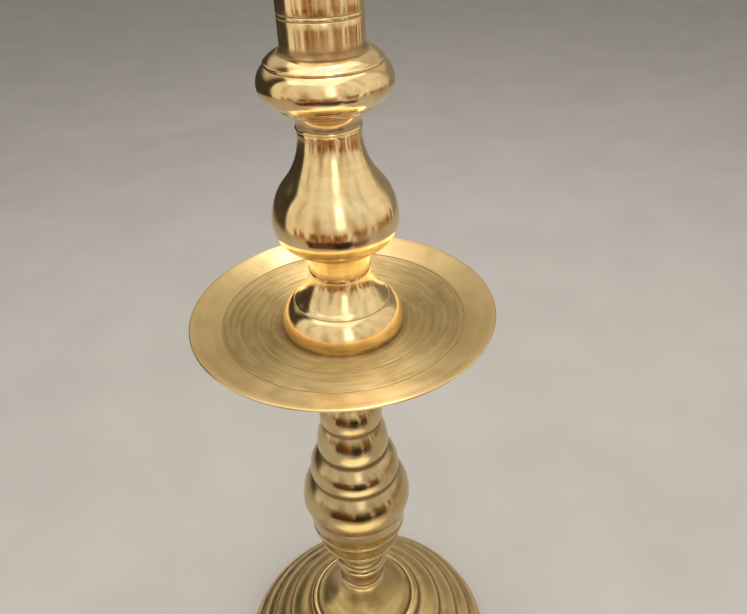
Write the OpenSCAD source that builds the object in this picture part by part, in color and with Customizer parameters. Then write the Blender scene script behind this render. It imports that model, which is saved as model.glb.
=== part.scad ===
// Turned brass candlestick with a drip pan half-way up.
// Hollow turned sections stand on one another, each centred by a short spigot,
// and a steel tie rod clamps the stack between the socket's floor and the foot.
// The origin is the centre of the foot on the table, +Z is up, sizes are millimetres.

/* [Overall] */
// Radius of the foot on the table
foot_r = 111; // [100:1:135]
// Height of the foot, table to the top of its boss
foot_h = 101; // [93:1:122]
// Height of the small knop on the foot
knop_h = 36; // [33:1:44]
// Height of the bowl under the beehive's beads
bowl_h = 63; // [56:1:76]
// Height of the collar under the drip pan
collar_h = 49.7; // [44:0.1:60]
// Radius of the drip pan
pan_r = 99.5; // [88:0.5:125]
// Height of the bell collar on the drip pan
bell_h = 43; // [38:1:52]
// Height of the pear section
pear_h = 90; // [78:1:110]
// Height of the waisted collar over the pear
neck_h = 15.2; // [12:0.1:18]
// Height of the cushion knop
cushion_h = 20.8; // [18:0.1:26]
// Height of the candle socket with its shoulder
socket_h = 47.4; // [42:0.2:60]

/* [Foot] */
// How far the lowest rib's crest stands in from the foot's edge
rim_in = 2.7; // [1.5:0.1:5]
// Height of the lowest rib's crest
rib_z = 12.6; // [10:0.1:18]
// Number of ribs between the rim and the boss
ribs = 4; // [3:1:6]
// Width of each rib over the width of the rib outside it
rib_growth = 1.075; // [0.9:0.005:1.2]
// How far the foot's dome bulges
dome_sag = 3.9; // [1:0.1:8]
// How far each rib bulges
rib_sag = 2.2; // [0.4:0.1:3]
// Depth of the step under each rib's crest
rib_step = 3.2; // [1:0.1:4]
// Radius of the ring round the boss
boss_r = 48.3; // [42:0.1:58]
// Height of the ring round the boss
boss_z = 66.5; // [56:0.1:80]
// Radius of the boss's top
boss_top_r = 18; // [16.5:0.1:22]
// Wall of the foot's dome
foot_wall = 4; // [3:0.1:6]
// Thickness of the boss's top
boss_cap = 6; // [4:0.1:9]

/* [Knop on the foot] */
// Radius of the knop's bead
knop_r = 21.6; // [20.5:0.1:26]
// Radius of the knop's foot fillet
knop_fillet_r = 19.3; // [18:0.1:22]
// Radius of the knop's waist
knop_waist_r = 16.6; // [15.5:0.1:18]

/* [Beehive] */
// Radius of the bowl's lip
bowl_r = 32.4; // [28:0.1:38]
// Radius of the neck under the bowl
bowl_neck_r = 17.2; // [16:0.1:21]
// Height of the neck under the bowl
bowl_neck_h = 8; // [5:0.5:12]
// Radius of the small bead round the bowl
bowl_bead_r = 37.2; // [33:0.1:41]
// Radius of each bead, lowest first
bead_r = [42, 34, 26.7, 22.9]; // [18:0.1:52]
// Height of each bead, lowest first
bead_h = [32, 24, 28.5, 22]; // [18:0.5:38]
// Depth of the groove over each bead, lowest bead first
bead_groove = [1.9, 1.6, 1.7, 1.5]; // [0.8:0.1:3]
// Height of the waist over the beads
waist_h = 14; // [11:0.5:24]
// Radius of the waist over the beads
waist_r = 17; // [15.5:0.1:21]
// Radius of the fillet on top of the waist
waist_fillet_r = 19.4; // [18:0.1:24]

/* [Collar under the pan] */
// Radius of the collar's top, under the pan
collar_top_r = 34.5; // [30:0.1:44]
// Radius of the collar's bead
collar_bead_r = 22.6; // [20.5:0.1:28]
// Radius of the collar's waist
collar_waist_r = 18; // [16:0.1:21]

/* [Drip pan] */
// Gauge of the pan
pan_gauge = 1.8; // [1.4:0.1:4]
// Height of the pan's rim over its hub
pan_depth = 11.3; // [8:0.1:16]
// Height of the incised ring over the hub
pan_ring_z = 6; // [4:0.1:10]
// Radius of the incised ring
pan_ring_r = 79; // [68:0.5:100]
// Radius of the fine inner ring
pan_fine_r = 58; // [50:0.5:75]
// Depth of the incised ring
pan_ring_cut = 0.5; // [0.2:0.05:1]

/* [Bell collar] */
// Radius of the bell's band
bell_r = 39.8; // [34:0.1:48]
// Height of the bell's widest place
bell_band_z = 4; // [2:0.1:8]
// Radius of the bell's top
bell_top_r = 19.8; // [18:0.1:23]
// Share of the bell's slope under its incised line
bell_turn = 0.433; // [0.3:0.01:0.6]

/* [Pear section] */
// Radius of the pear
pear_r = 38.4; // [32:0.1:46]
// Radius of the pear's lower collar
pear_collar_r = 19.4; // [17.5:0.1:22]
// Height of the pear's lower collar
pear_collar_h = 15.5; // [11:0.1:22]
// Radius of the pear's neck
pear_neck_r = 18.4; // [16.5:0.1:22]
// Height of the pear's widest place
pear_belly_z = 33.9; // [29:0.1:44]
// Share of the pear's slope that swells out
pear_turn = 0.455; // [0.3:0.01:0.6]

/* [Neck collar and cushion] */
// Radius of the neck collar's flange
neck_flange_r = 28.6; // [25:0.1:33]
// Radius of the neck collar's small bead
neck_bead_r = 19.1; // [17.5:0.1:23]
// How far the cushion swells out past its top
cushion_out = 5.2; // [2:0.1:10]

/* [Candle socket] */
// Radius of the socket's bore, the size that a candle fits
bore_r = 19.75; // [17.5:0.05:21]
// Wall of the socket's tube
socket_wall = 3.15; // [2:0.05:5]
// How far the socket's shoulder stands out from the tube
shoulder_out = 9.8; // [7:0.1:13]
// Thickness of the socket's floor
socket_floor = 8.4; // [7:0.1:12]
// Room left round and over the nut in its well under the candle
well_room = 0.8; // [0.4:0.1:2]
// Height of the lower incised line over the cushion
line_z = 23.4; // [18:0.1:30]
// Distance between the two incised lines
line_gap = 2.2; // [1:0.1:4]
// How far the lip at the socket's mouth stands out from the tube
lip_out = 1; // [0.4:0.1:2]

/* [Fits and walls] */
// Radius of the tie rod
rod_r = 5; // [3:0.5:6]
// Clearance round the tie rod
rod_clear = 0.5; // [0.3:0.1:1]
// Radius of the spigots
spigot_r = 11; // [8.5:0.5:12]
// Height of the spigots
spigot_h = 4; // [3:0.5:5]
// Clearance of a spigot in its recess
fit_clear = 0.15; // [0.1:0.05:0.3]
// Wall of the hollow sections
wall = 3.6; // [2.5:0.1:5]
// Thickness at a hollow section's ends
end_wall = 7; // [6:0.5:9]
// Width of a fine incised line
line_w = 0.8; // [0.4:0.1:1.5]
// Depth of a fine incised line
line_cut = 0.45; // [0.2:0.05:0.8]

/* [Fasteners] */
// Width across the flats of the hexagon nuts
nut_flats = 17; // [12:0.5:19]
// Height of the base nut
nut_h = 8; // [5:0.5:10]
// Height of the lock nut
lock_nut_h = 5; // [4:0.5:6]
// Radius of the large base washer
base_washer_r = 15; // [12:0.5:17]
// Thickness of the large base washer
base_washer_t = 2; // [1:0.1:3]
// Thickness of the spring washer
spring_t = 2.2; // [1.2:0.1:3]
// Radius of the spring washer
spring_r = 8.6; // [6.5:0.1:9.5]
// Radius of the socket's slotted nut
slot_nut_r = 11; // [9:0.5:13]
// Height of the socket's slotted nut
slot_nut_h = 5; // [4:0.5:7]
// Radius of the washer on the socket's floor
socket_washer_r = 13; // [11:0.5:15]
// Thickness of the washer on the socket's floor
socket_washer_t = 1.2; // [0.8:0.1:2]
// Length of thread that stands past each end nut
rod_proud = 1; // [0.5:0.5:3]

/* [Hidden] */
$fn = 96;

// The stack, from the table upward
beads_h = bead_h[0] + bead_h[1] + bead_h[2] + bead_h[3];
stem_h = bowl_h + beads_h + waist_h;
z_knop = foot_h;
z_stem = z_knop + knop_h;
z_collar = z_stem + stem_h;
z_pan = z_collar + collar_h;
z_bell = z_pan + pan_gauge;
z_pear = z_bell + bell_h;
z_neck = z_pear + pear_h;
z_cushion = z_neck + neck_h;
z_socket = z_cushion + cushion_h;
z_floor = z_socket + socket_floor;

// Sizes that follow from others
well_r = max(socket_washer_r, slot_nut_r) + well_room;
well_h = socket_washer_t + slot_nut_h + rod_proud + well_room;
rib_r = foot_r - rim_in;
socket_r = bore_r + socket_wall;
shoulder_r = socket_r + shoulder_out;
lip_r = socket_r + lip_out;
cushion_top_r = shoulder_r - 0.4;
cushion_r = cushion_top_r + cushion_out;

// The clamping hardware
rod_hole_r = rod_r + rod_clear;
z_boss_roof = foot_h - boss_cap;
z_base_washer = z_boss_roof - base_washer_t;
z_spring = z_base_washer - spring_t;
z_nut = z_spring - nut_h;
z_lock = z_nut - lock_nut_h;
z_rod_foot = z_lock - rod_proud;
z_slot_nut = z_floor + socket_washer_t;
z_rod_top = z_slot_nut + slot_nut_h + rod_proud;

// ---- outlines: lists of [radius, height], bottom to top; an arc leaves out its last point

// Radius of the circle through two points that is upright at one of them
function bend_radius(d) = (d.x * d.x + d.y * d.y) / (2 * abs(d.x));

// Arc from a, where it is upright, to b
function from_upright(a, b, n = 8) =
    let (d = b - a, q = bend_radius(d), turn = atan2(d.y / q, 1 - abs(d.x) / q))
    [for (i = [0:n - 1]) a + q * [sign(d.x) * (1 - cos(turn * i / n)), sin(turn * i / n)]];

// Arc from a to b, where it is upright
function to_upright(a, b, n = 8) =
    let (back = from_upright(b, a, n)) concat([a], [for (i = [n - 1:-1:1]) back[i]]);

// Swelling from a, out to its widest place m, and in to b
function belly(a, m, b, n = 8) = concat(to_upright(a, m, n), from_upright(m, b, n));

// S-curve between two upright ends, turning over at the given share of the way
function ogee(a, b, share, n = 8) =
    let (m = a + (b - a) * share) concat(from_upright(a, m, n), to_upright(m, b, n));

// Point at a share of the arc from a to b that bulges outward by sag, or inward where
// sag is negative
function bow_at(a, b, sag, share) =
    let (d = b - a, c = norm(d), along = d / c, out = [along.y, -along.x] * sign(sag),
         s = abs(sag), q = (c * c / 4 + s * s) / (2 * s),
         f = asin(c / 2 / q) * (2 * share - 1))
    (a + b) / 2 + out * (s - q) + q * (out * cos(f) + along * sin(f));

function bow(a, b, sag, n = 6) = [for (i = [0:n - 1]) bow_at(a, b, sag, i / n)];

// Fine V cut in an upright wall
function incised(r, z) =
    [[r, z - line_w / 2], [r - line_cut, z], [r, z + line_w / 2]];

// Radius of an outline at a height
function radius_at(outline, z) = lookup(z, [for (p = outline) [p.y, p.x]]);

// The inside of a hollow section: its outline drawn in by the wall
function inside(outline, z0, z1) = concat(
    [[0, z0], [max(rod_hole_r, radius_at(outline, z0) - wall), z0]],
    [for (p = outline) if (p.y > z0 + 0.2 && p.y < z1 - 0.2)
        [max(rod_hole_r, p.x - wall), p.y]],
    [[max(rod_hole_r, radius_at(outline, z1) - wall), z1], [0, z1]]);

module turned(points) {
    rotate_extrude() polygon(points);
}

// Solid of an outline, closed along the axis
module solid_of(outline) {
    turned(concat([[0, outline[0].y]], outline, [[0, outline[len(outline) - 1].y]]));
}

module rod_hole(z0, z1) {
    translate([0, 0, z0]) cylinder(r = rod_hole_r, h = z1 - z0);
}

// Recess in the underside of a section, for the spigot below it
module recess() {
    translate([0, 0, -1]) cylinder(r = spigot_r + fit_clear, h = 1 + spigot_h + 2 * fit_clear);
}

module spigot(z, h = spigot_h) {
    translate([0, 0, z]) cylinder(r = spigot_r, h = h);
}

// One section of the stack, with its own origin at its underside.
// It is hollow between z0 and z1 where z1 is above z0.
module section(outline, h, top_spigot = spigot_h, z0 = 0, z1 = 0) {
    difference() {
        union() {
            solid_of(outline);
            if (top_spigot > 0) spigot(h, top_spigot);
        }
        recess();
        rod_hole(-1, h + top_spigot + 1);
        if (z1 > z0) turned(inside(outline, z0, z1));
    }
}

// ---- foot

// Share of the dome's arc up to a rib's crest, where each rib is rib_growth times as wide
// as the one outside it
function rib_share(i) = rib_growth == 1 ? i / ribs
    : (pow(rib_growth, i) - 1) / (pow(rib_growth, ribs) - 1);

// Crests of the ribs, from the rim to the boss's ring
rib_crests = [for (i = [0:ribs])
    bow_at([rib_r, rib_z], [boss_r, boss_z], dome_sag, rib_share(i))];

// One rib: bulges up from its crest to the step, then up the step to the next crest
function rib(low, high) =
    bow(low, [high.x + 0.3 * rib_step, high.y - rib_step], rib_sag, 5);

// The boss: its half-round ring, a groove, and the flare up to its top
function boss_outline() = let (
        ring_in = [boss_r - 5.6, boss_z + 3],
        groove = ring_in - [0.8, 0.9],
        top = [boss_top_r, foot_h],
        mid = groove + (top - groove) * 0.36)
    concat(bow([boss_r, boss_z], ring_in, 1.1, 5), [ring_in], bow(groove, mid, 1.2, 5),
           bow(mid, top, -2.6, 8), [top]);

function foot_outline() = concat(
    [[foot_r - 1, 0], [foot_r, 1.2]],
    from_upright([foot_r, rib_z * 0.45], rib_crests[0], 4),
    [for (i = [0:ribs - 1]) each rib(rib_crests[i], rib_crests[i + 1])],
    boss_outline());

// The hollow of the foot: a dome under the ribs and a smaller one under the boss
function foot_hollow() = let (
        rim = [rib_r - foot_wall, rib_z - foot_wall],
        shoulder = [boss_r - foot_wall, boss_z - rib_step - foot_wall],
        roof_r = max(base_washer_r + 1.5, boss_top_r - 1))
    concat([[0, -1], [rim.x, -1]], bow(rim, shoulder, dome_sag, 8),
           bow(shoulder, [roof_r, z_boss_roof], -1.2, 6),
           [[roof_r, z_boss_roof], [0, z_boss_roof]]);

module base() {
    color("goldenrod") difference() {
        union() {
            solid_of(foot_outline());
            spigot(foot_h);
        }
        turned(foot_hollow());
        rod_hole(0, foot_h + spigot_h + 1);
    }
}

// ---- stem

function knop_outline() = let (w = knop_waist_r, k = knop_h)
    concat(belly([knop_fillet_r - 0.7, 0], [knop_fillet_r, 1.3], [knop_fillet_r - 1.1, 2.8], 3),
           to_upright([w + 0.7, 3.4], [w, 0.22 * k], 4),
           from_upright([w, 0.22 * k], [knop_r - 2.4, 0.43 * k], 5),
           belly([knop_r - 2, 0.45 * k], [knop_r, 0.6 * k], [knop_r - 1.9, 0.74 * k], 6),
           to_upright([w + 1.6, 0.76 * k], [w + 0.7, 0.87 * k], 4),
           [[w + 0.7, 0.87 * k], [bowl_neck_r + 0.6, k]]);

module foot_knop() {
    translate([0, 0, z_knop]) color("gold") section(knop_outline(), knop_h);
}

// Small half-round bead
function small_bead(r, z) = belly([r - 1, z - 1.4], [r, z], [r - 0.8, z + 1.4], 3);

// Height of the foot of each bead over the bowl's seat
bead_z = [for (i = 0, z = bowl_h; i <= 3; z = z + bead_h[i], i = i + 1) z];

// Radius of the groove over each bead
function groove_r(i) =
    i < 3 ? bead_r[i + 1] - bead_groove[i] : waist_r + 1.5;

// One bead: it rounds out quickly from its foot and leans back to the groove above
function bead(i) = let (foot = i == 0 ? bead_r[0] - 1.6 : groove_r(i - 1) + 0.2, z = bead_z[i])
    belly([foot, z + 0.4], [bead_r[i], z + 0.24 * bead_h[i]], [groove_r(i), z + bead_h[i]], 7);

// The neck, the underside that spreads from it, and the bowl with its two small beads
function bowl_outline() = let (
        neck = [bowl_neck_r, bowl_neck_h],
        under = [bowl_neck_r + 6, bowl_neck_h + 5.2],
        lip_z = bowl_h / 3,
        bead_z = 0.64 * bowl_h,
        brim = [bead_r[0] - 3, bowl_h - 1])
    concat([[bowl_neck_r + 0.6, 0], [bowl_neck_r, 0.6]], from_upright(neck, under, 5),
           bow(under, [bowl_r - 1.6, lip_z - 1.4], 1, 4),
           small_bead(bowl_r, lip_z), bow([bowl_r - 1, lip_z + 1.8],
           [bowl_bead_r - 1, bead_z - 1.4], 0.8, 5), small_bead(bowl_bead_r, bead_z),
           bow([bowl_bead_r - 0.8, bead_z + 1.8], brim, 0.6, 5), [brim]);

function stem_outline() = let (z = bowl_h + beads_h, top = [waist_fillet_r, stem_h])
    concat(bowl_outline(), bead(0), bead(1), bead(2), bead(3),
           to_upright([waist_r + 1.3, z + 0.6], [waist_r, z + 0.55 * waist_h], 5),
           from_upright([waist_r, z + 0.55 * waist_h], top - [0.6, 2.6], 4),
           [top - [0.6, 2.6], top - [0, 2], top]);

module lower_stem() {
    translate([0, 0, z_stem]) color("gold")
        section(stem_outline(), stem_h, z0 = end_wall, z1 = stem_h - end_wall);
}

function collar_outline() = let (w = collar_waist_r, h = collar_h)
    concat(belly([waist_fillet_r, 0], [collar_bead_r, 4], [w + 1.4, 8], 5),
           to_upright([w + 0.9, 8.6], [w, 0.33 * h], 5),
           from_upright([w, 0.33 * h], [collar_top_r - 1.5, h - 6], 9),
           [[collar_top_r - 1.5, h - 6], [collar_top_r, h - 5], [collar_top_r, h]]);

module pan_collar() {
    translate([0, 0, z_collar]) color("gold")
        section(collar_outline(), collar_h, pan_gauge + spigot_h);
}

// ---- drip pan

// Height of the pan's upper face over its underside at the hub
pan_hub_r = bell_r + 0.4;
function pan_top(r) = pan_gauge + (r < pan_ring_r
    ? pan_ring_z * (r - pan_hub_r) / (pan_ring_r - pan_hub_r)
    : pan_ring_z + (pan_depth - pan_ring_z) * (r - pan_ring_r) / (pan_r - pan_ring_r));

// Fine ring turned into the pan's upper face
function pan_ring(r, w, cut) =
    [[r + w, pan_top(r + w)], [r, pan_top(r) - cut], [r - w, pan_top(r - w)]];

function pan_outline() = let (
        edge = pan_r - pan_gauge / 2,
        hole = spigot_r + fit_clear,
        lift = pan_top(edge) - pan_gauge / 2)
    concat([[hole, 0], [pan_hub_r, 0], [pan_ring_r, pan_top(pan_ring_r) - pan_gauge]],
           [for (a = [-90:30:90]) [edge, lift] + pan_gauge / 2 * [cos(a), sin(a)]],
           pan_ring(pan_ring_r, line_w, pan_ring_cut),
           pan_ring(pan_fine_r, line_w / 2, pan_ring_cut / 2),
           [[pan_hub_r, pan_gauge], [hole, pan_gauge]]);

module drip_pan() {
    translate([0, 0, z_pan]) color("darkgoldenrod") turned(pan_outline());
}

// ---- upper stem

function bell_outline() = let (
        foot = [bell_r - 0.5, 0],
        wide = [bell_r, bell_band_z],
        top = [bell_top_r, bell_h],
        m = wide + (top - wide) * bell_turn)
    concat(to_upright(foot, wide, 3), from_upright(wide, m + [0.5, -0.5], 8),
           [m + [0.5, -0.5], m - [line_cut, 0]], to_upright(m + [-0.5, 0.5], top, 9),
           [top]);

module stem_bell() {
    translate([0, 0, z_bell]) color("gold")
        section(bell_outline(), bell_h, z0 = end_wall, z1 = bell_h - end_wall);
}

function pear_outline() = let (
        seat = [pear_collar_r + 1.1, pear_collar_h + 0.7],
        wide = [pear_r, pear_belly_z],
        neck = [pear_neck_r, pear_h - 2])
    concat([[pear_collar_r - 0.3, 0], [pear_collar_r, 0.6]],
           from_upright([pear_collar_r, pear_collar_h - 1], seat, 3),
           to_upright(seat, wide, 10), ogee(wide, neck, pear_turn, 10),
           [neck, [pear_neck_r, pear_h]]);

module pear_baluster() {
    translate([0, 0, z_pear]) color("gold")
        section(pear_outline(), pear_h, z0 = pear_collar_h + wall, z1 = pear_h - end_wall);
}

function neck_outline() = let (r = pear_neck_r, lip = neck_flange_r, h = neck_h)
    concat(belly([r, 0], [neck_bead_r, 1], [r, 2.2], 3),
           from_upright([r - 0.1, 2.4], [lip - 0.3, h - 1.9], 8),
           [[lip - 0.3, h - 1.9], [lip, h - 1.5], [lip, h - 0.5], [lip - 0.4, h]]);

module neck_collar() {
    translate([0, 0, z_neck]) color("gold") section(neck_outline(), neck_h);
}

function cushion_outline() = let (foot = [neck_flange_r + 0.8, 0], top = [cushion_top_r, cushion_h])
    concat(belly(foot, [cushion_r, 0.53 * cushion_h], top, 9), [top]);

module cushion_knop() {
    translate([0, 0, z_cushion]) color("gold")
        section(cushion_outline(), cushion_h, z0 = end_wall, z1 = cushion_h - end_wall);
}

// ---- candle socket

function socket_outline() = let (
        s = shoulder_r,
        foot = [socket_r + 1.7, 6],
        lip_foot = [socket_r, socket_h - 3.8])
    concat(belly([s - 0.7, 0], [s, 0.9], [s - 0.7, 1.8], 3),
           bow([s - 1.1, 2.2], foot, 0.8, 6),
           to_upright(foot, [socket_r, 9], 5), [[socket_r, 9]],
           incised(socket_r, line_z), incised(socket_r, line_z + line_gap),
           belly(lip_foot, [lip_r, socket_h - 1.8], [lip_r - 0.7, socket_h], 4),
           [[lip_r - 0.7, socket_h]]);

// The bore stands over a narrower well, which keeps the nut and the rod clear of the candle
module candle_socket() {
    translate([0, 0, z_socket]) color("gold") difference() {
        section(socket_outline(), socket_h, 0);
        translate([0, 0, socket_floor]) cylinder(r = well_r, h = socket_h);
        translate([0, 0, socket_floor + well_h]) cylinder(r = bore_r, h = socket_h);
    }
}

// ---- tie rod and fasteners

module ring(r, hole_r, t) {
    difference() {
        cylinder(r = r, h = t);
        translate([0, 0, -1]) cylinder(r = hole_r, h = t + 2);
    }
}

module tie_rod() {
    chamfer = 0.8;
    length = z_rod_top - z_rod_foot;
    translate([0, 0, z_rod_foot]) color("silver")
        turned([[0, 0], [rod_r - chamfer, 0], [rod_r, chamfer], [rod_r, length - chamfer],
                [rod_r - chamfer, length], [0, length]]);
}

module socket_washer() {
    translate([0, 0, z_floor]) color("silver") ring(socket_washer_r, rod_hole_r, socket_washer_t);
}

// Round nut with two slots across its top for a forked driver
module socket_nut() {
    slot_w = 2;
    translate([0, 0, z_slot_nut]) color("silver") difference() {
        ring(slot_nut_r, rod_r, slot_nut_h);
        translate([-slot_nut_r - 1, -slot_w / 2, slot_nut_h / 2])
            cube([slot_nut_r - rod_r, slot_w, slot_nut_h]);
        translate([rod_r + 1, -slot_w / 2, slot_nut_h / 2])
            cube([slot_nut_r - rod_r, slot_w, slot_nut_h]);
    }
}

module base_washer() {
    translate([0, 0, z_base_washer]) color("silver")
        ring(base_washer_r, rod_hole_r, base_washer_t);
}

// Spring washer, split at one place
module spring_washer() {
    split = 1.2;
    translate([0, 0, z_spring]) color("silver") difference() {
        ring(spring_r, rod_hole_r, spring_t);
        translate([0, -split / 2, -1]) cube([spring_r + 1, split, spring_t + 2]);
    }
}

// Hexagon nut, its corners turned off
module hex_nut(h) {
    corner_r = nut_flats / 2 / cos(30);
    cut = corner_r - nut_flats / 2;
    difference() {
        intersection() {
            cylinder(r = corner_r, h = h, $fn = 6);
            turned([[0, 0], [nut_flats / 2, 0], [corner_r, cut * 0.6], [corner_r, h - cut * 0.6],
                    [nut_flats / 2, h], [0, h]]);
        }
        translate([0, 0, -1]) cylinder(r = rod_r, h = h + 2);
    }
}

module base_nut() {
    translate([0, 0, z_nut]) color("silver") hex_nut(nut_h);
}

module lock_nut() {
    translate([0, 0, z_lock]) color("silver") rotate([0, 0, 17]) hex_nut(lock_nut_h);
}

base();
foot_knop();
lower_stem();
pan_collar();
drip_pan();
stem_bell();
pear_baluster();
neck_collar();
cushion_knop();
candle_socket();
tie_rod();
socket_washer();
socket_nut();
base_washer();
spring_washer();
base_nut();
lock_nut();
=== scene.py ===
"""A turned brass candlestick: its smooth sections, their finishes, and a small studio.

Outlines are drawn in millimetres from each section's own seat, bottom to top, and turned
about the stem's axis. Seats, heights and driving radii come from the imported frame. A
section's sizes are its class's fields. The small numbers that a stroke adds to one of them
are the quirks and fillets beside it, a few millimetres wide at most.
"""

import logging
import math
from dataclasses import dataclass
from enum import Enum
from typing import Any, Dict, List, Optional, Sequence, Tuple

import bmesh
import bpy
import numpy as np
from mathutils import Matrix, Vector


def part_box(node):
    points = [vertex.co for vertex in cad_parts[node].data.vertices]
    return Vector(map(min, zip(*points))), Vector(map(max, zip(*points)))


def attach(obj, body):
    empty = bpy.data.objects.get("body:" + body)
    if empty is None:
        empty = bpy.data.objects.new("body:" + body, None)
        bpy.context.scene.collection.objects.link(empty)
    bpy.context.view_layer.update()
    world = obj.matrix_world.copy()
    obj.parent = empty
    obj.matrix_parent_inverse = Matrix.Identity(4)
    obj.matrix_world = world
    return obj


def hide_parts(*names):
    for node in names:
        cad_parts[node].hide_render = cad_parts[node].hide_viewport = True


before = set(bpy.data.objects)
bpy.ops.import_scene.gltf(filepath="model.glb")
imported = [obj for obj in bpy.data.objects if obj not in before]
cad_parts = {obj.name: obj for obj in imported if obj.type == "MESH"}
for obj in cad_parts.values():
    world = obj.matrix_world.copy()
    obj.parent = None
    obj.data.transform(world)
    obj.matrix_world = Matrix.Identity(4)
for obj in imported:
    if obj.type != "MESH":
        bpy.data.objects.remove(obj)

MM = 0.001
BODY = "root"
TINY = 1e-12
QUARTER_TURN = 0.25
LOG = logging.getLogger("candlestick")

Colour = Tuple[float, float, float]
Point = Tuple[float, float]

BLACK: Colour = (0.018, 0.01, 0.005)
BROWN: Colour = (0.17, 0.05, 0.008)
LIT: Colour = (1.7, 1.5, 1.15)


# ---------------------------------------------------------------- outlines


class Outline:
    """A turned outline: (radius, height) points in millimetres, drawn one stroke at a time."""

    turn_step = math.radians(7.0)
    longest_step = 2.2

    def __init__(self, r: float, z: float) -> None:
        """Starts the outline.

        Args:
            r: radius of the first point.
            z: height of the first point.
        """
        self.points: List[Point] = [(r, z)]

    def _steps(self, turn: float, length: float) -> int:
        """How many chords an arc needs.

        Args:
            turn: angle that the arc turns through, in radians.
            length: length of its chord.

        Returns:
            The number of chords.
        """
        return max(2, math.ceil(abs(turn) / self.turn_step), math.ceil(length / self.longest_step))

    def line(self, r: float, z: float) -> "Outline":
        """Draws a straight stroke.

        Args:
            r: radius where the stroke ends.
            z: height where it ends.

        Returns:
            The outline itself.
        """
        r0, z0 = self.points[-1]
        n = max(1, math.ceil(math.hypot(r - r0, z - z0) / (2 * self.longest_step)))
        self.points += [(r0 + (r - r0) * i / n, z0 + (z - z0) * i / n) for i in range(1, n + 1)]
        return self

    def leave(self, r: float, z: float) -> "Outline":
        """Draws an arc to (r, z) that is upright where it starts."""
        self.points += self._upright_arc(self.points[-1], (r, z))[1:]
        return self

    def arrive(self, r: float, z: float) -> "Outline":
        """Draws an arc to (r, z) that is upright where it ends."""
        self.points += self._upright_arc((r, z), self.points[-1])[-2::-1]
        return self

    def belly(self, wide: Point, end: Point) -> "Outline":
        """Swells out (or in) to its upright place, then goes back to the end.

        Args:
            wide: the upright place.
            end: where the stroke ends.

        Returns:
            The outline itself.
        """
        return self.arrive(*wide).leave(*end)

    def ogee(self, end: Point, share: float) -> "Outline":
        """Draws an S between two upright ends.

        Args:
            end: where the stroke ends.
            share: how far along it turns over.

        Returns:
            The outline itself.
        """
        return self.leave(*share_of_way(self.points[-1], end, share)).arrive(*end)

    def bow(self, r: float, z: float, sag: float) -> "Outline":
        """Draws an arc that bulges outward by sag, or inward where sag is negative.

        Args:
            r: radius where the stroke ends.
            z: height where it ends.
            sag: how far the middle stands off the chord.

        Returns:
            The outline itself.
        """
        start = self.points[-1]
        length = math.hypot(r - start[0], z - start[1])
        n = self._steps(8 * abs(sag) / length, length)
        self.points += [bow_at(start, (r, z), sag, i / n) for i in range(1, n + 1)]
        return self

    def incise(self, z: float, width: float, depth: float) -> "Outline":
        """Goes up an upright wall to z and cuts a fine V there.

        Args:
            z: height of the V's bottom.
            width: width of the V.
            depth: depth of the V.

        Returns:
            The outline itself.
        """
        r = self.points[-1][0]
        self.line(r, z - width / 2)
        self.points += [(r - depth, z), (r, z + width / 2)]
        return self

    def _upright_arc(self, upright: Point, other: Point) -> List[Point]:
        """Works out an arc that is upright at one of its ends.

        Args:
            upright: the end where it is upright.
            other: its other end.

        Returns:
            The arc's points, from the upright end to the other.
        """
        dr, dz = other[0] - upright[0], other[1] - upright[1]
        radius = (dr * dr + dz * dz) / (2 * abs(dr))
        turn = math.atan2(dz / radius, 1 - abs(dr) / radius)
        n = self._steps(turn, math.hypot(dr, dz))
        side = math.copysign(radius, dr)
        return [
            (
                upright[0] + side * (1 - math.cos(turn * i / n)),
                upright[1] + radius * math.sin(turn * i / n),
            )
            for i in range(n + 1)
        ]

    def radius_at(self, z: float) -> float:
        """Radius of the outline at a height."""
        heights = [p[1] for p in self.points]
        return float(np.interp(z, heights, [p[0] for p in self.points]))


def share_of_way(a: Point, b: Point, share: float) -> Point:
    """The point that lies a share of the way from a to b."""
    return a[0] + (b[0] - a[0]) * share, a[1] + (b[1] - a[1]) * share


def bow_at(a: Point, b: Point, sag: float, share: float) -> Point:
    """A point on the arc that bulges from the chord a-b.

    Args:
        a: start of the arc.
        b: end of the arc.
        sag: how far it bulges outward (inward where negative).
        share: how far along the arc, from 0 to 1.

    Returns:
        The point.
    """
    start, chord = Vector(a), Vector(b) - Vector(a)
    along = chord.normalized()
    out = Vector((along.y, -along.x)) * math.copysign(1, sag)
    depth = abs(sag)
    radius = (chord.length_squared / 4 + depth * depth) / (2 * depth)
    angle = math.asin(chord.length / 2 / radius) * (2 * share - 1)
    place = start + chord / 2 + out * (depth - radius)
    place += radius * (out * math.cos(angle) + along * math.sin(angle))
    return place.x, place.y


def seat(node: str) -> float:
    """Height of a node's underside, in millimetres."""
    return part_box(node)[0].z / MM


def reach(node: str) -> float:
    """Largest radius of a round node, in millimetres."""
    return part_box(node)[1].x / MM


# ---------------------------------------------------------------- turning


def stand_off(line: np.ndarray, span: float) -> np.ndarray:
    """How far each point of a closed outline stands off the chord between its neighbours.

    Args:
        line: the outline's points, in metres.
        span: how far along the outline the neighbours are, in metres.

    Returns:
        The distance outward, as a share of half the span, for each point.
    """
    ahead = np.roll(line, -1, axis=0) - line
    at = np.concatenate([[0], np.cumsum(np.hypot(*ahead.T))])
    closed = np.vstack([line, line[:1]])

    def along(distance: np.ndarray) -> np.ndarray:
        """Points of the outline at distances along it."""
        distance = np.mod(distance, at[-1])
        return np.stack([np.interp(distance, at, closed[:, i]) for i in (0, 1)], axis=1)

    before, after = along(at[:-1] - span), along(at[:-1] + span)
    chord = after - before
    chord /= np.linalg.norm(chord, axis=1)[:, None] + TINY
    outward = np.stack([chord[:, 1], -chord[:, 0]], axis=1)
    return ((line - (before + after) / 2) * outward).sum(1) / (span / 2)


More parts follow.
